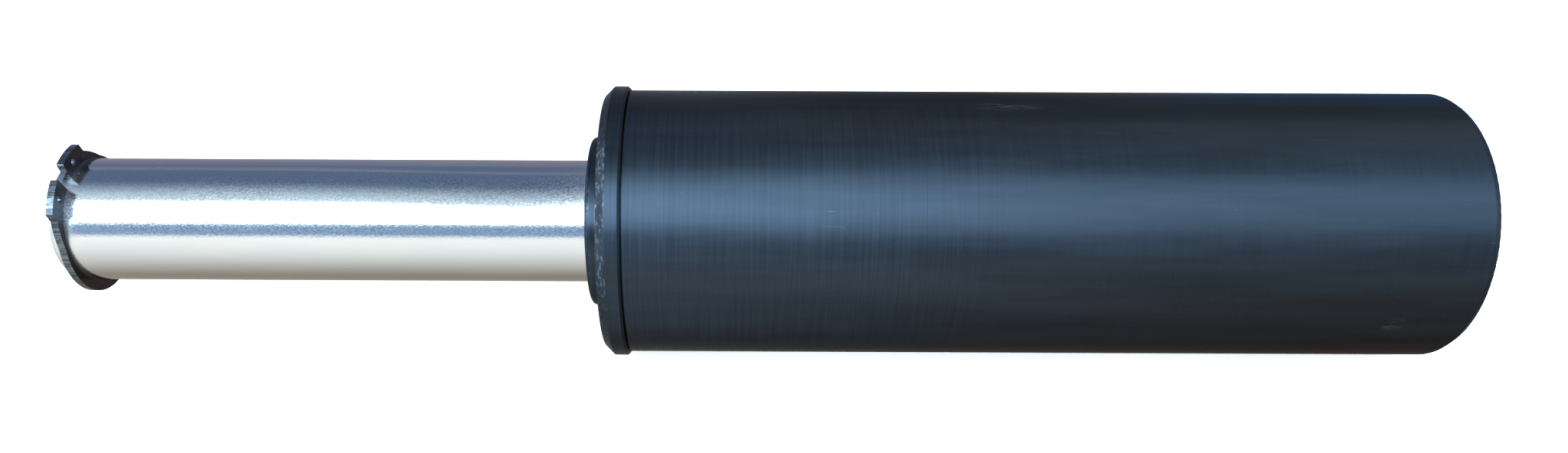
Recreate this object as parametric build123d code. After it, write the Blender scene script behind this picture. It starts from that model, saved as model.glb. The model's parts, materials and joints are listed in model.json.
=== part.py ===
from build123d import *
import os
from math import cos, radians, sin

# A three-stage single-acting telescopic hydraulic cylinder, lying on its side.
# Everything is drawn upright about +Z, as a distance up from the base face, and turned on export
# so that the base face is in the plane X = 0 and the stages extend towards -X.
# Stages 1 and 2 are pushed home, and the plunger stands PLUNGER_OUT beyond its closed position.
# Lengths are in millimetres. A thread is a plain cylinder, its two sides touching.

# Driving diameters, given as radii
PLUNGER_R = 45 / 2
STAGE_2_R = 60 / 2
STAGE_1_R = 75 / 2
BARREL_R = 96.5 / 2
BARREL_LENGTH = 293.3
PLUNGER_OUT = 149.0
PLUNGER_END = 499.2

# Fits: radial clearances between parts that slide, and the space around a seal in its groove
BEARING_GAP = 0.05
METAL_GAP = 0.10
SEAL_PLAY = 0.05
GUIDE_PLAY = 0.01
END_GAP = 0.3

# How far a cutting body runs past the surface that it opens
CUT_PAST = 1.0

# Every moving tube runs in a bore this much larger in radius
BORE_STEP = 2.5
PLUNGER_WALL = 6.0
STAGE_FRONT = 303.0

# Base plug, screwed into the barrel's rear end
BASE_LENGTH = 22.0
BASE_THREAD_R = 42.0
BASE_SEAL_AT = 17.0
PORT_R = 9.5
PORT_EDGE = 1.2
PORT_DEPTH = 16.0
PORT_WAY_R = 7.0
BASE_BOLT_R = 4.25
BASE_BOLT_DEPTH = 14.0
BASE_BOLT_CIRCLE_R = 28.0
BASE_BOLTS = 4
REAR_BEVEL = 1.5
REAR_BEVEL_LENGTH = 2.5
REAR_ROUNDING = 0.9

# Gland, screwed into the barrel's front end
GLAND_THREAD_R = 43.5
GLAND_REAR = 263.8
GLAND_NECK_R = 45.0
GLAND_NECK_END = 294.0
GLAND_COLLAR_R = 49.65
GLAND_COLLAR_END = 299.3
GLAND_FACE = 302.6
GLAND_FACE_R = 46.3
GLAND_CORNER = 0.8
GLAND_GUIDES = 2
SPANNER_HOLE_R = 1.75
SPANNER_HOLE_DEPTH = 4.0
SPANNER_HOLES = 4

# Heads, screwed into the front ends of stages 1 and 2
HEAD_LENGTH = 31.8
HEAD_THREAD = 4.5
CAP_STAND = 0.2
CAP_FACE = 307.95
CAP_R = 31.1
CAP_CORNER = 1.7
CAP_HOLE_CIRCLE_R = 27.4
CAP_HOLE_R = 1.25
STAGE_1_SLOT_WIDTH = 5.0
STAGE_1_SLOT_DEPTH = 1.6

# Seal grooves in a head, each as its distance behind the face, its width and its radial depth
WIPER_WIDTH = 4.6
WIPER_DEPTH = 2.4
WIPER_LIP = 0.95
SEAL_AT = 8.2
SEAL_WIDTH = 4.8
BACKUP_WIDTH = 1.3
SEAL_DEPTH = 2.4
GUIDE_AT = 17.4
GUIDE_WIDTH = 8.0
GUIDE_DEPTH = 1.5
GUIDE_PITCH = 10.0
STATIC_RING_WIDTH = 2.6
STATIC_RING_DEPTH = 1.8
STATIC_RING_FROM_REAR = 1.6

# Foot of a moving tube: turned-down seat, stop collar, wear band and retaining ring
SEAT_STEP = 1.0
FOOT_EDGE = 1.4
CLIP_WIDTH = 2.0
CLIP_DEPTH = 1.0
CLIP_STAND = 1.0
COLLAR_LENGTH = 20.0
COLLAR_PLAY = 0.4
BAND_AT = 5.0
BAND_WIDTH = 10.0
BAND_DEPTH = 1.4
BAND_PLAY = 0.1
SPLIT_WIDTH = 1.6
BAND_SPLIT_TURN = 30
CLIP_SPLIT_TURN = 200
LIP_LENGTH = 4.0
LIP_INWARD = 5.0
STAGE_PITCH = LIP_LENGTH + END_GAP

# Plunger's outer end
CIRCLIP_AT = 492.9
CIRCLIP_WIDTH = 2.5
CIRCLIP_GROOVE_R = 42.5 / 2
CIRCLIP_GROOVE_WIDTH = 2.65
PLUNGER_EDGE = 1.5
END_PLUG_LENGTH = 24.0
END_PLUG_STEP = 1.5
CENTRE_HOLE_R = 3.2

# Circlip: an eccentric ring with two lugs, each with a ramp behind it that dies out into the ring.
# Angles are from the middle of the gap, which leans GAP_LEAN from the top to the front.
CIRCLIP_OUTER_R = 25.3
CIRCLIP_OFFSET = 2.6
GAP_LEAN = 25.7
LUG_FROM = 6.3
LUG_CORNER = 32.2
LUG_R = 29.0
LUG_RISE = 0.3
LUG_TIP_FILLET = 0.5
LUG_HOLE_TURN = 18.9
LUG_HOLE_AT = 25.4
LUG_HOLE_R = 1.5
RAMP_FROM = 36.5
RAMP_R = 26.3
RAMP_FILLET = 0.8
RAMP_MIDDLE = 50.0
RAMP_MIDDLE_R = 24.85
RAMP_TO = 64.0
RAMP_END_R = 23.9

# Where each moving tube stands, from its foot to its front
STAGE_1_FOOT = BASE_LENGTH + END_GAP
STAGE_2_FOOT = STAGE_1_FOOT + STAGE_PITCH
PLUNGER_FOOT = STAGE_2_FOOT + STAGE_PITCH + PLUNGER_OUT
CAP_REAR = STAGE_FRONT + CAP_STAND
SEAT_LENGTH = FOOT_EDGE + CLIP_WIDTH + COLLAR_LENGTH


def turned(*points):
    """A solid turned about Z from a closed outline of (radius, height) points."""
    outline = Polyline(*[(radius, 0, height) for radius, height in points], close=True)
    return revolve(make_face(outline), Axis.Z)


def ring(outer, inner, low, high):
    """A plain ring between two radii and two heights."""
    return turned((inner, low), (outer, low), (outer, high), (inner, high))


def disc(radius, low, high):
    """A plain round bar between two heights."""
    return Pos(0, 0, low) * Cylinder(radius, high - low, align=(Align.CENTER, Align.CENTER, Align.MIN))


def around(count, circle_r, piece, start=0):
    """Copies of a piece at equal angles on a circle about Z."""
    return [Rot(0, 0, start + 360 * n / count) * Pos(circle_r, 0, 0) * piece for n in range(count)]


def split_ring(outer, inner, low, high, turn):
    """A ring cut through on one side, so that it springs into its groove."""
    gap = Rot(0, 0, turn) * Pos(outer, 0, (low + high) / 2) * Box(outer, SPLIT_WIDTH, 2 * (high - low))
    return ring(outer, inner, low, high) - gap


# ---- static parts of the barrel ----

def barrel_tube():
    bore_r = STAGE_1_R + BORE_STEP
    body = turned(
        (BASE_THREAD_R, 0),
        (BARREL_R - REAR_BEVEL, 0),
        (BARREL_R, REAR_BEVEL_LENGTH),
        (BARREL_R, BARREL_LENGTH),
        (GLAND_THREAD_R, BARREL_LENGTH),
        (GLAND_THREAD_R, GLAND_REAR - END_GAP),
        (bore_r, GLAND_REAR - END_GAP),
        (bore_r, BASE_LENGTH),
        (BASE_THREAD_R, BASE_LENGTH),
    )
    wall_middle_r = (BASE_THREAD_R + BARREL_R) / 2
    outer_rims = body.edges().filter_by(GeomType.CIRCLE).filter_by(lambda rim: rim.radius > wall_middle_r)
    rear_rims = [rim for rim in outer_rims if rim.center().Z < BASE_LENGTH]
    return fillet(rear_rims, REAR_ROUNDING)


def base_plug():
    thread_edge = 0.8
    plug = turned(
        (0, 0),
        (BASE_THREAD_R - thread_edge, 0),
        (BASE_THREAD_R, thread_edge),
        (BASE_THREAD_R, BASE_LENGTH),
        (0, BASE_LENGTH),
    )
    plug -= static_groove(BASE_THREAD_R, BASE_SEAL_AT)
    plug -= disc(PORT_R, 0, PORT_DEPTH)
    plug -= disc(PORT_WAY_R, 0, BASE_LENGTH)
    plug -= Cone(PORT_R + PORT_EDGE, PORT_R, PORT_EDGE, align=(Align.CENTER, Align.CENTER, Align.MIN))
    hole = disc(BASE_BOLT_R, 0, BASE_BOLT_DEPTH)
    return plug - around(BASE_BOLTS, BASE_BOLT_CIRCLE_R, hole, start=45)


def static_groove(surface_r, low):
    """The space to cut for an O-ring in an outside surface."""
    return ring(surface_r + CUT_PAST, surface_r - STATIC_RING_DEPTH, low, low + STATIC_RING_WIDTH)


def static_o_ring(surface_r, low):
    """The O-ring in that groove, just clear of the groove's floor and of the bore around it."""
    section_r = STATIC_RING_DEPTH / 2 - SEAL_PLAY
    middle = low + STATIC_RING_WIDTH / 2
    return Pos(0, 0, middle) * Torus(surface_r - STATIC_RING_DEPTH / 2, section_r)


# ---- what every head has inside, measured back from its face ----

def seal_grooves(member_r, face, guides=1):
    """The space to cut for the wiper, the seal with its backup ring, and the guide rings."""
    inner = member_r - CUT_PAST
    seal_top = face - SEAL_AT
    seal_low = seal_top - SEAL_WIDTH - BACKUP_WIDTH
    grooves = ring(member_r + WIPER_DEPTH, inner, face - WIPER_WIDTH, face + CUT_PAST)
    grooves += ring(member_r + SEAL_DEPTH, inner, seal_low, seal_top)
    for n in range(guides):
        top = face - GUIDE_AT - n * GUIDE_PITCH
        grooves += ring(member_r + GUIDE_DEPTH, inner, top - GUIDE_WIDTH, top)
    return grooves


def wiper(member_r, face, stands=0.0):
    """Scraper ring with a lip that leans on the tube and may stand proud of the face."""
    inner = member_r + BEARING_GAP
    outer = member_r + WIPER_DEPTH
    low = face - WIPER_WIDTH
    corner = 0.4
    relief = 0.9
    lip_foot = 1.1
    lip_tip = 0.35
    lip_bearing = 1.2
    return turned(
        (inner + relief, low),
        (outer, low),
        (outer, face - corner),
        (outer - corner, face),
        (inner + lip_foot, face),
        (inner + lip_tip, face + stands),
        (inner, face + stands - lip_tip),
        (inner, face - lip_bearing),
        (inner + relief, face - 2 * lip_bearing),
    )


def rod_seal(member_r, face):
    """U-ring: two lips that face the oil, with a notch between them."""
    inner = member_r + BEARING_GAP
    outer = member_r + SEAL_DEPTH - SEAL_PLAY
    top = face - SEAL_AT - BACKUP_WIDTH
    low = top - SEAL_WIDTH
    middle = (inner + outer) / 2
    notch = 1.8
    lip = 0.45
    heel = 0.2
    heel_length = 0.8
    return turned(
        (inner + heel, top),
        (outer - heel, top),
        (outer, top - heel_length),
        (outer, low + lip),
        (outer - lip, low),
        (middle, low + notch),
        (inner + lip, low),
        (inner, low + lip),
        (inner, top - heel_length),
    )


def backup_ring(member_r, face):
    top = face - SEAL_AT
    return ring(member_r + SEAL_DEPTH - SEAL_PLAY, member_r + BEARING_GAP, top - BACKUP_WIDTH, top)


def guide_rings(member_r, face, guides=1):
    """Split bearing rings, one in each guide groove."""
    rings = []
    outer = member_r + GUIDE_DEPTH - GUIDE_PLAY
    for n in range(guides):
        top = face - GUIDE_AT - n * GUIDE_PITCH
        rings.append(split_ring(outer, member_r + BEARING_GAP, top - GUIDE_WIDTH, top, 90 * n))
    return rings[0] if guides == 1 else Compound(children=rings)


# ---- gland and heads ----

def head_gland():
    """Gland with a narrow neck against the barrel's end and a collar with a bevelled front."""
    bore_r = STAGE_1_R + METAL_GAP
    blank = turned(
        (bore_r, GLAND_REAR),
        (GLAND_THREAD_R, GLAND_REAR),
        (GLAND_THREAD_R, BARREL_LENGTH),
        (GLAND_NECK_R, BARREL_LENGTH),
        (GLAND_NECK_R, GLAND_NECK_END),
        (GLAND_COLLAR_R - GLAND_CORNER, GLAND_NECK_END),
        (GLAND_COLLAR_R, GLAND_NECK_END + GLAND_CORNER),
        (GLAND_COLLAR_R, GLAND_COLLAR_END),
        (GLAND_FACE_R, GLAND_FACE),
        (bore_r, GLAND_FACE),
    )
    rims = blank.edges().filter_by(GeomType.CIRCLE).filter_by(lambda rim: rim.radius > GLAND_NECK_R)
    bevel_rims = [rim for rim in rims if rim.center().Z > GLAND_NECK_END + 2 * GLAND_CORNER]
    blank = fillet(bevel_rims, GLAND_CORNER)
    blank -= seal_grooves(STAGE_1_R, GLAND_FACE, GLAND_GUIDES)
    blank -= static_groove(GLAND_THREAD_R, GLAND_REAR + STATIC_RING_FROM_REAR)
    hole = disc(SPANNER_HOLE_R, GLAND_FACE - SPANNER_HOLE_DEPTH, GLAND_FACE + CUT_PAST)
    circle_r = (STAGE_1_R + WIPER_DEPTH + GLAND_FACE_R - GLAND_CORNER) / 2
    return blank - around(SPANNER_HOLES, circle_r, hole)


def stage_1_head():
    """Head screwed in flush with the front of stage 1, with slots for a spanner."""
    outer = STAGE_2_R + HEAD_THREAD
    low = STAGE_FRONT - HEAD_LENGTH
    blank = ring(outer, STAGE_2_R + METAL_GAP, low, STAGE_FRONT)
    blank -= seal_grooves(STAGE_2_R, STAGE_FRONT)
    blank -= static_groove(outer, low + STATIC_RING_FROM_REAR)
    slot = Pos(0, 0, STAGE_FRONT) * Box(2 * outer, STAGE_1_SLOT_WIDTH, 2 * STAGE_1_SLOT_DEPTH)
    return blank - [slot, Rot(0, 0, 90) * slot]


def stage_2_head():
    """Head with a wide cap that rests on the front of stage 1 and covers its own tube's end."""
    insert_r = PLUNGER_R + HEAD_THREAD
    low = CAP_REAR - HEAD_LENGTH
    bore_r = PLUNGER_R + METAL_GAP
    blank = turned(
        (bore_r, low),
        (insert_r, low),
        (insert_r, CAP_REAR),
        (CAP_R, CAP_REAR),
        (CAP_R, CAP_FACE),
        (bore_r, CAP_FACE),
    )
    rim = blank.edges().filter_by(GeomType.CIRCLE).group_by(Axis.Z)[-1].sort_by(SortBy.RADIUS)[-1]
    blank = fillet(rim, CAP_CORNER)
    blank -= seal_grooves(PLUNGER_R, CAP_FACE)
    blank -= static_groove(insert_r, low + STATIC_RING_FROM_REAR)
    hole = disc(CAP_HOLE_R, CAP_FACE - SPANNER_HOLE_DEPTH, CAP_FACE + CUT_PAST)
    return blank - around(SPANNER_HOLES, CAP_HOLE_CIRCLE_R, hole, start=45)


# ---- moving tubes and what is on their feet ----

def clip_groove(member_r, foot):
    low = foot + FOOT_EDGE
    seat_r = member_r - SEAT_STEP
    return ring(member_r + CUT_PAST, seat_r - CLIP_DEPTH, low, low + CLIP_WIDTH)


def stage_tube(member_r, next_r, foot, front):
    """Tube with a seat for its collar, a lip that the next stage rests on, and a thread for its head."""
    bore_r = next_r + BORE_STEP
    seat_r = member_r - SEAT_STEP
    head_low = front - HEAD_LENGTH - END_GAP
    shoulder = foot + SEAT_LENGTH
    tube = turned(
        (bore_r - LIP_INWARD, foot),
        (seat_r, foot),
        (seat_r, shoulder),
        (member_r, shoulder),
        (member_r, front),
        (next_r + HEAD_THREAD, front),
        (next_r + HEAD_THREAD, head_low),
        (bore_r, head_low),
        (bore_r, foot + LIP_LENGTH),
        (bore_r - LIP_INWARD, foot + LIP_LENGTH),
    )
    return tube - clip_groove(member_r, foot)


def plunger_tube():
    """Innermost tube, chrome plated, with a circlip groove near its outer end."""
    bore_r = PLUNGER_R - PLUNGER_WALL
    seat_r = PLUNGER_R - SEAT_STEP
    shoulder = PLUNGER_FOOT + SEAT_LENGTH
    plug_low = PLUNGER_END - END_PLUG_LENGTH
    tube = turned(
        (bore_r, PLUNGER_FOOT),
        (seat_r, PLUNGER_FOOT),
        (seat_r, shoulder),
        (PLUNGER_R, shoulder),
        (PLUNGER_R, PLUNGER_END - PLUNGER_EDGE),
        (PLUNGER_R - PLUNGER_EDGE, PLUNGER_END),
        (bore_r + END_PLUG_STEP, PLUNGER_END),
        (bore_r + END_PLUG_STEP, plug_low),
        (bore_r, plug_low),
    )
    groove_end = CIRCLIP_AT + CIRCLIP_GROOVE_WIDTH
    tube -= ring(PLUNGER_R + CUT_PAST, CIRCLIP_GROOVE_R, CIRCLIP_AT, groove_end)
    return tube - clip_groove(PLUNGER_R, PLUNGER_FOOT)


def plunger_end_plug():
    """Plug that closes the plunger's outer end, with a lathe centre in its face."""
    plug_r = PLUNGER_R - PLUNGER_WALL + END_PLUG_STEP
    edge = 0.8
    face = PLUNGER_END - edge
    plug_low = PLUNGER_END - END_PLUG_LENGTH
    return turned(
        (0, plug_low),
        (plug_r, plug_low),
        (plug_r, face - edge),
        (plug_r - edge, face),
        (CENTRE_HOLE_R, face),
        (CENTRE_HOLE_R / 3, face - CENTRE_HOLE_R),
        (CENTRE_HOLE_R / 3, face - 2 * CENTRE_HOLE_R),
        (0, face - 2 * CENTRE_HOLE_R),
    )


def stop_collar(member_r, foot):
    """Collar that stops against the head of the tube around it when the stage is fully out."""
    low = foot + FOOT_EDGE + CLIP_WIDTH
    outer = member_r + BORE_STEP - COLLAR_PLAY
    edge = 0.6
    collar = turned(
        (member_r - SEAT_STEP, low),
        (outer - edge, low),
        (outer, low + edge),
        (outer, low + COLLAR_LENGTH - edge),
        (outer - edge, low + COLLAR_LENGTH),
        (member_r - SEAT_STEP, low + COLLAR_LENGTH),
    )
    band_low = low + BAND_AT
    return collar - ring(outer + CUT_PAST, band_floor(member_r), band_low, band_low + BAND_WIDTH)


def band_floor(member_r):
    """Radius of the wear band's groove."""
    return member_r + BORE_STEP - COLLAR_PLAY - BAND_DEPTH


def wear_band(member_r, foot):
    """Split band that floats in the collar's groove and runs on the bore."""
    low = foot + FOOT_EDGE + CLIP_WIDTH + BAND_AT + BAND_PLAY
    high = low + BAND_WIDTH - 2 * BAND_PLAY
    outer = member_r + BORE_STEP - BEARING_GAP
    return split_ring(outer, band_floor(member_r) + BAND_PLAY, low, high, BAND_SPLIT_TURN)


def retaining_ring(member_r, foot):
    """Split ring that keeps the collar on its seat."""
    low = foot + FOOT_EDGE
    seat_r = member_r - SEAT_STEP
    return split_ring(seat_r + CLIP_STAND, seat_r - CLIP_DEPTH, low, low + CLIP_WIDTH, CLIP_SPLIT_TURN)


# ---- circlip on the plunger's outer end ----

def polar(radius, turn):
    return (radius * cos(radians(turn)), radius * sin(radians(turn)))


def circlip_lug(side):
    """One lug with its ramp, before its corners are rounded; it starts inside the gap."""
    inner = CIRCLIP_GROOVE_R + CUT_PAST
    tip_from = LUG_FROM / 2
    tip_start = polar(LUG_R, side * tip_from)
    tip_middle = polar(LUG_R + LUG_RISE / 2, side * (tip_from + LUG_CORNER) / 2)
    tip_end = polar(LUG_R + LUG_RISE, side * LUG_CORNER)
    ramp_start = polar(RAMP_R, side * RAMP_FROM)
    ramp_end = polar(RAMP_END_R, side * RAMP_TO)
    outline = ThreePointArc(tip_start, tip_middle, tip_end)
    outline += Line(tip_end, ramp_start)
    outline += ThreePointArc(ramp_start, polar(RAMP_MIDDLE_R, side * RAMP_MIDDLE), ramp_end)
    outline += Polyline(ramp_end, polar(inner, side * RAMP_TO), polar(inner, 0), tip_start)
    return extrude(make_face(outline), CIRCLIP_WIDTH)


def upright_edges(solid, low_r, high_r):
    """The edges along the axis whose distance from it lies between two radii."""
    edges = solid.edges().filter_by(Axis.Z)
    return [edge for edge in edges if low_r < Vector(edge.center().X, edge.center().Y).length < high_r]


def end_circlip():
    """External circlip with its gap on local +X, then turned to where it sits."""
    cut_low = -CUT_PAST
    cut_high = CIRCLIP_WIDTH + CUT_PAST
    clip = Pos(-CIRCLIP_OFFSET, 0, 0) * disc(CIRCLIP_OUTER_R, 0, CIRCLIP_WIDTH)
    clip += [circlip_lug(side) for side in (-1, 1)]
    clip -= disc(CIRCLIP_GROOVE_R, cut_low, cut_high)
    far = 2 * LUG_R
    gap = make_face(Polyline((0, 0), polar(far, -LUG_FROM), polar(far, LUG_FROM), close=True))
    clip -= Pos(0, 0, cut_low) * extrude(gap, cut_high - cut_low)
    clip = fillet(upright_edges(clip, RAMP_R - RAMP_FILLET / 2, RAMP_R + RAMP_FILLET / 2), RAMP_FILLET)
    clip = fillet(upright_edges(clip, LUG_R - LUG_RISE, LUG_R + 2 * LUG_RISE), LUG_TIP_FILLET)
    for side in (-1, 1):
        clip -= Pos(*polar(LUG_HOLE_AT, side * LUG_HOLE_TURN), 0) * disc(LUG_HOLE_R, cut_low, cut_high)
    return Rot(0, 0, -GAP_LEAN) * Pos(0, 0, CIRCLIP_AT) * clip


# ---- all nodes ----

def sliding_parts(name, member_r, foot):
    """The parts on the foot of a moving tube."""
    return {
        f"{name}_stop_collar": stop_collar(member_r, foot),
        f"{name}_wear_band": wear_band(member_r, foot),
        f"{name}_retaining_ring": retaining_ring(member_r, foot),
    }


def sealing_parts(name, member_r, face, ring_r, ring_low, stands=0.0, guides=1):
    """The rings in a gland or head, around the tube that slides in it."""
    return {
        f"{name}_wiper": wiper(member_r, face, stands),
        f"{name}_seal": rod_seal(member_r, face),
        f"{name}_backup_ring": backup_ring(member_r, face),
        f"{name}_guide_ring": guide_rings(member_r, face, guides),
        f"{name}_o_ring": static_o_ring(ring_r, ring_low + STATIC_RING_FROM_REAR),
    }


nodes = {
    "barrel_tube": barrel_tube(),
    "base_plug": base_plug(),
    "base_o_ring": static_o_ring(BASE_THREAD_R, BASE_SEAL_AT),
    "head_gland": head_gland(),
    "stage_1_tube": stage_tube(STAGE_1_R, STAGE_2_R, STAGE_1_FOOT, STAGE_FRONT),
    "stage_1_head": stage_1_head(),
    "stage_2_tube": stage_tube(STAGE_2_R, PLUNGER_R, STAGE_2_FOOT, CAP_REAR),
    "stage_2_head": stage_2_head(),
    "plunger_tube": plunger_tube(),
    "plunger_end_plug": plunger_end_plug(),
    "end_circlip": end_circlip(),
}
nodes |= sealing_parts("gland", STAGE_1_R, GLAND_FACE, GLAND_THREAD_R, GLAND_REAR, guides=GLAND_GUIDES)
stage_1_low = STAGE_FRONT - HEAD_LENGTH
nodes |= sealing_parts("stage_1", STAGE_2_R, STAGE_FRONT, STAGE_2_R + HEAD_THREAD, stage_1_low)
stage_2_low = CAP_REAR - HEAD_LENGTH
nodes |= sealing_parts("stage_2", PLUNGER_R, CAP_FACE, PLUNGER_R + HEAD_THREAD, stage_2_low, WIPER_LIP)
nodes |= sliding_parts("stage_1", STAGE_1_R, STAGE_1_FOOT)
nodes |= sliding_parts("stage_2", STAGE_2_R, STAGE_2_FOOT)
nodes |= sliding_parts("plunger", PLUNGER_R, PLUNGER_FOOT)

os.makedirs("parts", exist_ok=True)
for name, shape in nodes.items():
    export_step(Rot(0, -90, 0) * shape, f"parts/{name}.step")
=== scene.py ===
import json
import math

import bpy
from mathutils import Matrix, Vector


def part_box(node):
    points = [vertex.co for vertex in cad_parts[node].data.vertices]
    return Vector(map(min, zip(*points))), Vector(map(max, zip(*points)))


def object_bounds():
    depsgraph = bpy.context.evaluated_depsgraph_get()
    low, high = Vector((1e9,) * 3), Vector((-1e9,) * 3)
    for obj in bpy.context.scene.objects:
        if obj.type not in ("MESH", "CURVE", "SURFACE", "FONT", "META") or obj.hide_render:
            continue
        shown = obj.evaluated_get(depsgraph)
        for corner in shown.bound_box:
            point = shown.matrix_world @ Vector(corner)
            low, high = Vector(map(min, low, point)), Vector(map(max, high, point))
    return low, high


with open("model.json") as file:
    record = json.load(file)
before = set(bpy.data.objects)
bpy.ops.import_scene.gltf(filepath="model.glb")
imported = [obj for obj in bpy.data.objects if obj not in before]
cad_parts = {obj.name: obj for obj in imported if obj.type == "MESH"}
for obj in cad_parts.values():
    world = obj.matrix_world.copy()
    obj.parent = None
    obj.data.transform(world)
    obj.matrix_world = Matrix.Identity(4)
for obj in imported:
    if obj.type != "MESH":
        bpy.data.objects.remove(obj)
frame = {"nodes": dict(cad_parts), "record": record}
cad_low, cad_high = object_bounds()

# The cylinder lies along X with its base face at x = 0 and its plunger pointing to -X.
# Every length is in metres. Colours are linear red, green and blue, and 1 where they are opaque.
MM = 0.001
WHITE = (1, 1, 1, 1)

OXIDE = (0.0235, 0.0315, 0.042)
OXIDE_GLINT = (0.62, 0.64, 0.66, 1)
OXIDE_DUST = (0.1, 0.12, 0.14, 1)
OXIDE_SCRATCHED = (0.13, 0.14, 0.15, 1)
OXIDE_WORN = (0.18, 0.22, 0.265, 1)
OXIDE_RUBBED = (0.17, 0.18, 0.2, 1)
LINE_DARK, LINE_LIGHT = (0.87, 0.88, 0.89, 1), (1.14, 1.13, 1.12, 1)
CHROME_DARK, CHROME_LIGHT = (0.53, 0.535, 0.54, 1), (0.57, 0.57, 0.565, 1)
SPECK_DARK, SPECK_LIGHT = (0.74, 0.77, 0.82, 1), (1.28, 1.26, 1.20, 1)
STEEL_DARK, STEEL_LIGHT = (0.42, 0.42, 0.42, 1), (0.55, 0.545, 0.53, 1)
SPRING_FACE_DARK, SPRING_FACE_LIGHT = (0.012, 0.018, 0.028, 1), (0.026, 0.038, 0.058, 1)
SPRING_RIM_DARK, SPRING_RIM_LIGHT = (0.042, 0.05, 0.06, 1), (0.15, 0.17, 0.19, 1)
PAPER_DARK, PAPER_LIGHT = (0.80, 0.80, 0.80, 1), (0.84, 0.84, 0.84, 1)


# ---------------------------------------------------------------- node helpers

def add(tree, kind, inputs=None, **settings):
    """A node whose inputs are set from values, or linked when given another node's output."""
    node = tree.nodes.new("ShaderNode" + kind)
    for key, value in settings.items():
        setattr(node, key, value)
    for key, value in (inputs or {}).items():
        if isinstance(value, bpy.types.NodeSocket):
            tree.links.new(value, node.inputs[key])
        else:
            node.inputs[key].default_value = value
    return node


def maths(tree, operation, *values):
    """One Math node on one to three values or sockets."""
    return add(tree, "Math", dict(enumerate(values)), operation=operation).outputs[0]


def times(tree, first, *others):
    """The product of values or sockets."""
    for other in others:
        first = maths(tree, "MULTIPLY", first, other)
    return first


def away_from(tree, value, middle):
    """How far a value is from a number."""
    return maths(tree, "ABSOLUTE", maths(tree, "ADD", value, -middle))


def vector_maths(tree, operation, *values):
    """One Vector Math node on one or two vectors."""
    return add(tree, "VectorMath", dict(enumerate(values)), operation=operation)


def smooth(tree, value, low, high, to_low=0.0, to_high=1.0):
    """A smooth step of a value from one number to another."""
    inputs = {"Value": value, "From Min": low, "From Max": high, "To Min": to_low, "To Max": to_high}
    return add(tree, "MapRange", inputs, interpolation_type="SMOOTHSTEP").outputs[0]


def blend_colours(tree, factor, first, second, how="MIX"):
    """The first colour where the factor is 0, and the second over it where the factor is 1."""
    inputs = {0: factor, 6: first, 7: second}
    return add(tree, "Mix", inputs, data_type="RGBA", blend_type=how).outputs[2]


def multiply_colours(tree, factor, first, second):
    """The first colour, multiplied by the second where the factor is 1."""
    return blend_colours(tree, factor, first, second, how="MULTIPLY")


def shaded(colour, amount):
    """A colour made darker or lighter, and opaque."""
    return tuple(amount * c for c in colour) + (1,)


def spot(tree):
    """A place on the piece, in the cylinder's own frame."""
    return add(tree, "TexCoord").outputs["Object"]


def along_axis(tree):
    """The place along the cylinder."""
    return add(tree, "SeparateXYZ", {0: spot(tree)}).outputs[0]


def facing(tree):
    """The x, y and z of the direction that the surface faces."""
    return add(tree, "SeparateXYZ", {0: add(tree, "TexCoord").outputs["Normal"]}).outputs


def grain(tree, stretch, detail=3.0, roughness=0.5, offset=(0, 0, 0)):
    """Noise whose frequency, in cycles per metre, is given along each axis."""
    place = add(tree, "Mapping", {"Vector": spot(tree), "Scale": stretch, "Location": offset}).outputs[0]
    inputs = {"Vector": place, "Scale": 1.0, "Detail": detail, "Roughness": roughness}
    return add(tree, "TexNoise", inputs).outputs["Fac"]


def bump(tree, shader, height, strength, distance, under=None):
    """Raise the surface by a height, on top of the bump it has already got."""
    inputs = {"Height": height, "Strength": strength, "Distance": distance}
    if under is not None:
        inputs["Normal"] = under
    normal = add(tree, "Bump", inputs).outputs[0]
    link(tree, normal, shader, "Normal")
    return normal


def new_material(name):
    """A material with its node tree and its Principled shader."""
    material = bpy.data.materials.new(name)
    material.use_nodes = True
    tree = material.node_tree
    return material, tree, tree.nodes["Principled BSDF"]


def link(tree, socket, shader, name):
    """Feed one input of a shader from a socket."""
    tree.links.new(socket, shader.inputs[name])


# ---------------------------------------------------------------- materials

def worn_bands(tree, along, bands, colour):
    """Lay chipped bare metal over a colour where x lies in a band of (low, high, amount)."""
    chips = smooth(tree, grain(tree, (900, 420, 420), detail=5, roughness=0.72), 0.5, 0.64)
    patches = smooth(tree, grain(tree, (20, 45, 45), detail=2, offset=(4, 4, 9)), 0.42, 0.62, 0.25, 1.0)
    edge = 0.3 * MM
    for low, high, amount in bands:
        wear = times(tree, smooth(tree, along, low - edge, low + edge),
                     smooth(tree, along, high + edge, high - edge), chips, patches, amount)
        colour = blend_colours(tree, wear, colour, OXIDE_WORN)
    return colour


def scuffed(tree, scuffs, colour):
    """Lay rubbed streaks over a colour around each (middle, half lengths)."""
    strength = 0.5
    streaks = grain(tree, (120, 1000, 1000), detail=5, roughness=0.75, offset=(1, 3, 3))
    streaks = smooth(tree, streaks, 0.47, 0.62)
    for middle, half_lengths in scuffs:
        offset = vector_maths(tree, "SUBTRACT", spot(tree), middle).outputs[0]
        apart = vector_maths(tree, "DIVIDE", offset, half_lengths).outputs[0]
        apart = vector_maths(tree, "LENGTH", apart).outputs["Value"]
        rubbed = times(tree, smooth(tree, apart, 1.0, 0.3), streaks, strength)
        colour = blend_colours(tree, rubbed, colour, OXIDE_RUBBED)
    return colour


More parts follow.
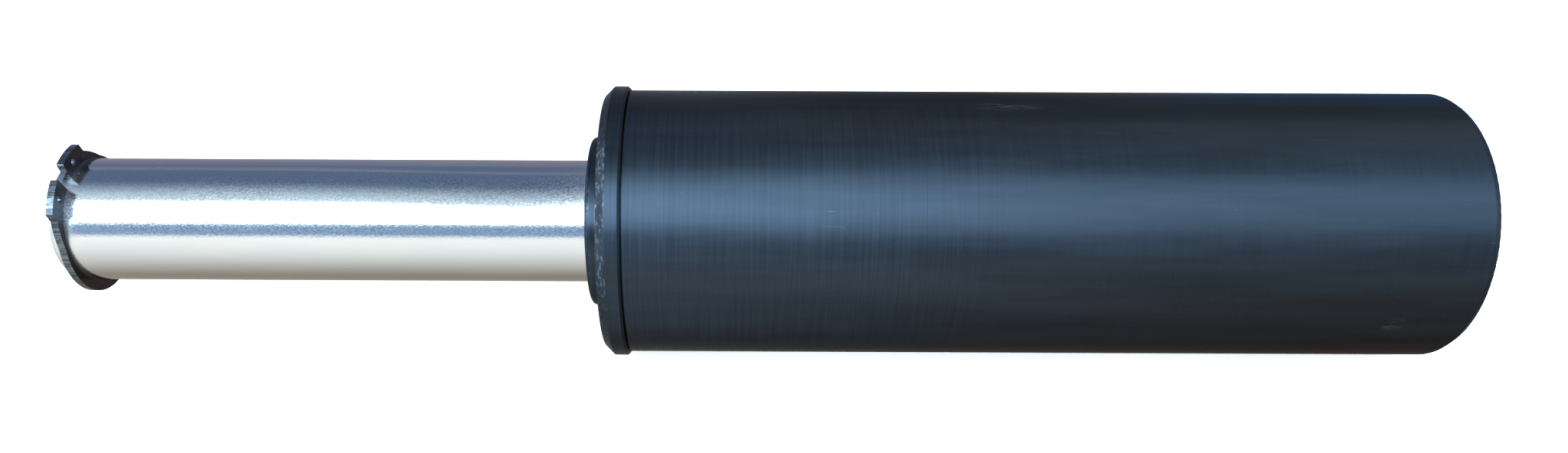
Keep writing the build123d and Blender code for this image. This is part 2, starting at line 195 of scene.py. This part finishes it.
def blued_steel(name, rough=0.36, lined=None, worn_at=(), scuffs=()):
    """Blue-black oxide on turned steel: fine turning lines, smudges, dust, scratches and worn edges.

    Where lined is a pair of places, the turning lines grow from a quarter of their strength at the
    first to the whole of it at the second.
    """
    material, tree, shader = new_material(name)
    shader.inputs["Metallic"].default_value = 0.93
    shader.inputs["Specular Tint"].default_value = OXIDE_GLINT
    along = along_axis(tree)
    lines = grain(tree, (1350, 22, 22), detail=3, roughness=0.6)
    shown = smooth(tree, along, *lined, 0.25, 1.0) if lined else 1.0
    fine = grain(tree, (5200, 40, 40), detail=2, offset=(3, 1, 2))
    smudges = grain(tree, (9, 85, 85), detail=5, roughness=0.6, offset=(2, 0, 5))
    dust = smooth(tree, grain(tree, (1900, 1900, 1900), detail=1, offset=(5, 0, 0)), 0.76, 0.82)
    scratches = smooth(tree, grain(tree, (60, 2600, 2600), detail=1, offset=(0, 7, 0)), 0.76, 0.80)
    scratched = smooth(tree, grain(tree, (30, 30, 30), offset=(8, 8, 1)), 0.56, 0.66)

    dark, light = shaded(OXIDE, 0.88), shaded(OXIDE, 1.14)
    colour = blend_colours(tree, smooth(tree, smudges, 0.32, 0.68), dark, light)
    streaks = blend_colours(tree, smooth(tree, lines, 0.3, 0.72), LINE_DARK, LINE_LIGHT)
    streaks = blend_colours(tree, shown, WHITE, streaks)
    colour = multiply_colours(tree, 1.0, colour, streaks)
    colour = blend_colours(tree, times(tree, dust, 0.5), colour, OXIDE_DUST)
    colour = blend_colours(tree, times(tree, scratches, scratched, 0.4), colour, OXIDE_SCRATCHED)
    colour = worn_bands(tree, along, worn_at, colour)
    colour = scuffed(tree, scuffs, colour)
    link(tree, colour, shader, "Base Color")

    uneven = maths(tree, "MULTIPLY_ADD", smooth(tree, smudges, 0.35, 0.75), 0.05, rough - 0.05)
    uneven = maths(tree, "MULTIPLY_ADD", smooth(tree, lines, 0.3, 0.7), 0.05, uneven)
    link(tree, uneven, shader, "Roughness")
    raised = bump(tree, shader, lines, times(tree, shown, 0.22), 0.05 * MM)
    bump(tree, shader, fine, 0.25, 0.02 * MM, raised)
    return material


def hard_chrome(name, dulled_to):
    """Hard chrome on a ground tube: a mirror with dust specks, orange peel, grinding lines and smears.

    The dust lies on its upper front side. Near its outer end, up to x = dulled_to, it is duller.
    """
    material, tree, shader = new_material(name)
    shader.inputs["Metallic"].default_value = 1.0
    specks = grain(tree, (1250, 1500, 1500), detail=3, roughness=0.65, offset=(2, 5, 1))
    specks = smooth(tree, specks, 0.38, 0.62)
    upward = facing(tree)[2]
    patches = grain(tree, (28, 60, 60), detail=3, roughness=0.6, offset=(6, 1, 7))
    dusty = times(tree, smooth(tree, upward, 0.15, 0.4), smooth(tree, upward, 0.99, 0.93),
                  smooth(tree, patches, 0.36, 0.6, 0.4, 1.0))
    dulled = smooth(tree, along_axis(tree), dulled_to, dulled_to - 5 * MM, 0.0, 0.26)
    peel = grain(tree, (1000, 1500, 1500), detail=4, roughness=0.65)
    lines = grain(tree, (3000, 18, 18), detail=2, offset=(1, 0, 4))
    smears = grain(tree, (14, 90, 90), detail=5, roughness=0.6, offset=(9, 2, 0))

    tint = blend_colours(tree, smooth(tree, smears, 0.3, 0.7), CHROME_DARK, CHROME_LIGHT)
    speckle = blend_colours(tree, specks, SPECK_DARK, SPECK_LIGHT)
    speckle = blend_colours(tree, dusty, WHITE, speckle)
    link(tree, multiply_colours(tree, 1.0, tint, speckle), shader, "Base Color")

    rough = maths(tree, "MULTIPLY_ADD", times(tree, specks, dusty), 0.05,
                  smooth(tree, smears, 0.35, 0.75, 0.03, 0.07))
    link(tree, maths(tree, "ADD", rough, dulled), shader, "Roughness")
    peeled = bump(tree, shader, peel, 0.6, 0.05 * MM)
    bump(tree, shader, lines, 0.08, 0.01 * MM, peeled)
    return material


def turned_steel(name):
    """Bare turned steel with visible tool lines."""
    material, tree, shader = new_material(name)
    shader.inputs["Metallic"].default_value = 1.0
    lines = grain(tree, (2600, 9, 9), detail=2)
    stains = grain(tree, (40, 40, 40), detail=5)
    colour = blend_colours(tree, smooth(tree, stains, 0.3, 0.7), STEEL_DARK, STEEL_LIGHT)
    link(tree, colour, shader, "Base Color")
    link(tree, smooth(tree, lines, 0.3, 0.7, 0.26, 0.4), shader, "Roughness")
    bump(tree, shader, lines, 0.3, 0.03 * MM)
    return material


def phosphated_spring(name):
    """Black phosphate on a stamped spring ring: mottled faces, and paler shear marks round the rim."""
    material, tree, shader = new_material(name)
    shader.inputs["Metallic"].default_value = 0.9
    endways = maths(tree, "ABSOLUTE", facing(tree)[0])
    rim = smooth(tree, endways, 0.8, 0.3)
    shear = grain(tree, (140, 1500, 1500), detail=3)
    mottle = grain(tree, (900, 900, 900), detail=4, roughness=0.7)
    face = blend_colours(tree, smooth(tree, mottle, 0.35, 0.7), SPRING_FACE_DARK, SPRING_FACE_LIGHT)
    edge = blend_colours(tree, smooth(tree, shear, 0.38, 0.62), SPRING_RIM_DARK, SPRING_RIM_LIGHT)
    link(tree, blend_colours(tree, rim, face, edge), shader, "Base Color")
    link(tree, smooth(tree, mottle, 0.3, 0.7, 0.18, 0.3), shader, "Roughness")
    grainy = bump(tree, shader, mottle, 0.25, 0.03 * MM)
    bump(tree, shader, shear, 0.3, 0.04 * MM, grainy)
    return material


def soft_ring(name, colour, rough, metallic=0.0):
    """Rubber or plastic ring: moulded grain and slight colour change."""
    material, tree, shader = new_material(name)
    shader.inputs["Metallic"].default_value = metallic
    mould = grain(tree, (1200, 1200, 1200), detail=3)
    patches = grain(tree, (60, 60, 60), detail=3)
    dark, light = shaded(colour, 0.8), shaded(colour, 1.25)
    link(tree, blend_colours(tree, smooth(tree, patches, 0.3, 0.7), dark, light), shader, "Base Color")
    link(tree, smooth(tree, mould, 0.3, 0.7, rough - 0.06, rough + 0.08), shader, "Roughness")
    bump(tree, shader, mould, 0.25, 0.04 * MM)
    return material


def paper_floor(name):
    """White paper that glows a little, so that it stays as pale as the ground behind the cylinder."""
    material, tree, shader = new_material(name)
    fibres = grain(tree, (60, 60, 60), detail=4)
    link(tree, blend_colours(tree, fibres, PAPER_DARK, PAPER_LIGHT), shader, "Base Color")
    shader.inputs["Roughness"].default_value = 0.85
    shader.inputs["Specular IOR Level"].default_value = 0.0
    shader.inputs["Emission Color"].default_value = WHITE
    shader.inputs["Emission Strength"].default_value = 0.6
    return material


def node_edges(node):
    """Lowest and highest x of a node."""
    low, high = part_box(node)
    return low.x, high.x


gland_front, _ = node_edges("head_gland")
cap_front, _ = node_edges("stage_2_head")
barrel_front, _ = node_edges("barrel_tube")
_, clip_rear = node_edges("end_circlip")

# Bands along x that have lost their oxide, as (low, high, amount).
gland_wear = [
    (gland_front, gland_front + 0.8 * MM, 0.5),
    (gland_front, gland_front + 3.4 * MM, 0.7),
]
cap_wear = [(cap_front, cap_front + 1.6 * MM, 0.5)]
# Rubbed places on the barrel, as (middle, half lengths): one on top and one low by the base.
barrel_scuffs = [
    ((-160 * MM, -2 * MM, 48 * MM), (17 * MM, 4 * MM, 3 * MM)),
    ((-28 * MM, -46 * MM, -13 * MM), (5 * MM, 3 * MM, 5 * MM)),
]
# The turning lines show on the front part of the barrel.
barrel_lined = (0.5 * barrel_front, 0.7 * barrel_front)

finishes = {
    "black_paint": blued_steel("barrel_black", lined=barrel_lined, scuffs=barrel_scuffs),
    "chrome_plate": hard_chrome("hard_chrome", clip_rear + 5 * MM),
    "turned_steel": turned_steel("turned_steel"),
    "black_oxide": blued_steel("head_black", worn_at=cap_wear, rough=0.3),
    "black_phosphate": phosphated_spring("phosphated_spring"),
    "polyurethane": soft_ring("polyurethane", (0.02, 0.05, 0.1), 0.4),
    "nitrile_rubber": soft_ring("nitrile_rubber", (0.015, 0.015, 0.015), 0.6),
    "white_ptfe": soft_ring("white_ptfe", (0.8, 0.8, 0.78), 0.45),
    "bearing_strip": soft_ring("bearing_strip", (0.3, 0.17, 0.07), 0.5, 0.3),
}
for part in frame["record"]["subparts"]:
    mesh = frame["nodes"][part["node"]].data
    mesh.materials.clear()
    mesh.materials.append(finishes[part["material_slot"]])
gland_black = blued_steel("gland_black", worn_at=gland_wear, rough=0.33)
frame["nodes"]["head_gland"].data.materials[0] = gland_black


# ---------------------------------------------------------------- stage, light and camera

FLOOR_SIZE = 12


def white_floor():
    """A pale floor that only the camera sees: what it would reflect is painted in the world instead."""
    bpy.ops.mesh.primitive_plane_add(size=FLOOR_SIZE, location=(cad_low.x / 2, 0, cad_low.z))
    floor = bpy.context.object
    floor.name = "floor"
    floor.visible_glossy = False
    floor.visible_diffuse = False
    floor.visible_shadow = False
    floor.data.materials.append(paper_floor("floor_paper"))


# The world is painted by the direction of a ray. Its turn is the angle about the cylinder's axis in
# degrees: 0 is the front horizon, 90 is overhead, 180 behind and -90 straight down. Its x is the part
# that points along the axis. From the photograph's side the plunger mirrors an x of -0.48 to -0.1, the
# barrel -0.08 to 0.52, the gland's bevel about -0.95 and the base's rounded edge about 0.88.

# The strength that the world's colours are lit with.
STRENGTH = 2.0
WINDOW_GLOW = 8.6
WINDOW = (0.31, 0.41, 0.5, 1)
# A pale floor that gets darker and warmer under the cylinder, a blue-grey wall over its far edge, a
# bright sky around the window, and a dark room overhead and behind with one dim strip light in it.
FLOOR_FAR, FLOOR_UNDER = (0.8, 0.85, 0.85, 1), (0.2, 0.18, 0.15, 1)
WALL = (0.2, 0.3, 0.45, 1)
SKY = (0.6, 0.75, 0.85, 1)
ROOM_ABOVE = (0.08, 0.12, 0.2, 1)
ROOM_BACK = (0.15, 0.15, 0.2, 1)
STRIP_LIGHT = (0.2, 0.2, 0.25, 1)
ROOM_BEHIND = (0.36, 0.33, 0.34, 1)
ROOM_CORNER = (0.10, 0.10, 0.11, 1)
BLUE_BEHIND = (0.10, 0.28, 0.62, 1)
FRONT_HORIZON = (1.1, 1.12, 1.18, 1)
CEILING = (0.75, 0.72, 0.72, 1)
LAMP = (1.35, 1.4, 1.45, 1)
SIDES = (0.36, 0.38, 0.4, 1)
END_BELOW, END_ABOVE = (0.75, 0.88, 1.0, 1), (1.15, 1.35, 1.5, 1)
# What the ground's colour is multiplied by, under the front and the rear part of the barrel.
GROUND_FRONT, GROUND_REAR = (0.96, 0.86, 0.80, 1), (1.16, 0.84, 0.66, 1)
GROUND_BLUER, GROUND_DARKER = (1.0, 1.14, 1.36, 1), (0.72, 0.62, 0.55, 1)


def studio(tree, turn):
    """The floor, wall, sky and room around the cylinder, the same all along it."""
    floor = blend_colours(tree, smooth(tree, turn, 0, -110), FLOOR_FAR, FLOOR_UNDER)
    front = blend_colours(tree, smooth(tree, turn, 15, 30), WALL, SKY)
    colour = blend_colours(tree, smooth(tree, turn, -4, 2), floor, front)
    colour = blend_colours(tree, smooth(tree, turn, 55, 110), colour, ROOM_ABOVE)
    colour = blend_colours(tree, smooth(tree, away_from(tree, turn, 141), 3, 1), colour, STRIP_LIGHT)
    return blend_colours(tree, smooth(tree, away_from(tree, turn, 0), 150, 180), colour, ROOM_BACK)


def lowered(tree, turn, x):
    """The turn, with what is high in front brought down for the plunger and raised for the barrel."""
    for_plunger = smooth(tree, x, -0.36, -0.14, 1.5, 12.0)
    for_barrel = smooth(tree, x, -0.14, -0.04, 0.0, -5.0)
    shift = maths(tree, "MULTIPLY_ADD", for_plunger, smooth(tree, x, -0.06, -0.14), for_barrel)
    return maths(tree, "MULTIPLY_ADD", shift, smooth(tree, turn, 25, 50), turn)


def room(tree, turn, high_turn, x, z):
    """The surroundings without the window, with the places where they change along the axis."""
    from_front = away_from(tree, turn, -15)
    behind = times(tree, smooth(tree, from_front, 100, 137), smooth(tree, x, -0.12, -0.02))
    corner = times(tree, smooth(tree, from_front, 150, 165), smooth(tree, x, -0.04, 0.06),
                   smooth(tree, x, 0.36, 0.2))
    blue = times(tree, smooth(tree, away_from(tree, turn, 0), 158, 172), smooth(tree, x, 0.28, 0.4))
    colour = blend_colours(tree, behind, studio(tree, high_turn), ROOM_BEHIND)
    colour = blend_colours(tree, corner, colour, ROOM_CORNER)
    colour = blend_colours(tree, blue, colour, BLUE_BEHIND)

    below = times(tree, smooth(tree, turn, -5, -40), smooth(tree, x, 0.0, 0.15))
    ground = blend_colours(tree, smooth(tree, x, 0.14, 0.28), GROUND_FRONT, GROUND_REAR)
    middle = times(tree, smooth(tree, x, -0.08, 0.02), smooth(tree, x, 0.22, 0.1))
    bluer = times(tree, smooth(tree, turn, -28, -42), middle)
    darker = times(tree, smooth(tree, turn, -60, -78), middle)
    colour = multiply_colours(tree, below, colour, ground)
    colour = multiply_colours(tree, bluer, colour, GROUND_BLUER)
    colour = multiply_colours(tree, darker, colour, GROUND_DARKER)

    level = times(tree, smooth(tree, away_from(tree, turn, 6), 17, 7),
                  smooth(tree, x, -0.04, 0.08, 0.0, 0.6))
    overhead = times(tree, smooth(tree, turn, 80, 95), smooth(tree, turn, 138, 118))
    ceiling = times(tree, overhead, smooth(tree, x, -0.12, -0.02, 0.0, 0.35))
    lamp = times(tree, overhead, smooth(tree, x, 0.26, 0.4))
    colour = blend_colours(tree, level, colour, FRONT_HORIZON)
    colour = blend_colours(tree, ceiling, colour, CEILING)
    colour = blend_colours(tree, lamp, colour, LAMP)

    side = smooth(tree, away_from(tree, x, 0), 0.56, 0.72, 0.0, 0.6)
    end_on = maths(tree, "MAXIMUM", smooth(tree, x, -0.8, -0.92), smooth(tree, x, 0.93, 0.98))
    ends = blend_colours(tree, smooth(tree, z, -0.2, 0.05), END_BELOW, END_ABOVE)
    colour = blend_colours(tree, side, colour, SIDES)
    return blend_colours(tree, end_on, colour, ends)


def studio_world():
    """A window in front and above, a bright floor, a dim room behind and soft light from both ends."""
    world = bpy.data.worlds.new("studio")
    bpy.context.scene.world = world
    world.use_nodes = True
    tree = world.node_tree
    tree.nodes.clear()
    way = add(tree, "SeparateXYZ", {0: add(tree, "TexCoord").outputs["Generated"]})
    x, y, z = way.outputs
    turn = maths(tree, "DEGREES", maths(tree, "ARCTAN2", z, times(tree, y, -1.0)))
    high_turn = lowered(tree, turn, x)
    window = times(tree, smooth(tree, turn, 21, 31), smooth(tree, high_turn, 66, 56))
    colour = blend_colours(tree, window, room(tree, turn, high_turn, x, z), WINDOW)

    glow = times(tree, window, smooth(tree, x, 0.0, 0.2, 1.25, 1.0))
    strength = maths(tree, "MULTIPLY_ADD", glow, STRENGTH * (WINDOW_GLOW - 1), STRENGTH)
    fade = maths(tree, "MULTIPLY_ADD", smooth(tree, x, 0.05, 0.24), -0.42, 1.0)
    fade = maths(tree, "MULTIPLY_ADD", smooth(tree, x, 0.26, 0.44), -0.12, fade)
    lit = add(tree, "Background", {"Color": colour, "Strength": times(tree, strength, fade)})
    seen = add(tree, "Background", {"Color": WHITE, "Strength": 1.0})
    ray = add(tree, "LightPath").outputs["Is Camera Ray"]
    mix = add(tree, "MixShader", {0: ray, 1: lit.outputs[0], 2: seen.outputs[0]})
    add(tree, "OutputWorld", {"Surface": mix.outputs[0]})


def camera():
    """A phone-like lens, 0.45 m from the cylinder's axis and 30 degrees above it."""
    distance = 0.4455
    elevation = math.radians(30)
    tilt_down = math.radians(2.65)
    roll = math.radians(0.26)
    ahead_of_base = 0.2561
    data = bpy.data.cameras.new("camera")
    data.lens = 27.45
    data.sensor_width = 36
    data.sensor_fit = "HORIZONTAL"
    data.shift_x = 0.0324
    data.shift_y = 0.0322
    data.clip_start = 0.01
    data.clip_end = 50
    seen_from = bpy.data.objects.new("camera", data)
    bpy.context.scene.collection.objects.link(seen_from)
    place = Matrix.Translation((cad_high.x - ahead_of_base,
                                -distance * math.cos(elevation), distance * math.sin(elevation)))
    look = Matrix.Rotation(math.radians(90) - elevation - tilt_down, 4, "X")
    seen_from.matrix_world = place @ look @ Matrix.Rotation(roll, 4, "Z")
    bpy.context.scene.camera = seen_from


white_floor()
studio_world()
camera()
bpy.context.scene.view_settings.view_transform = "Standard"
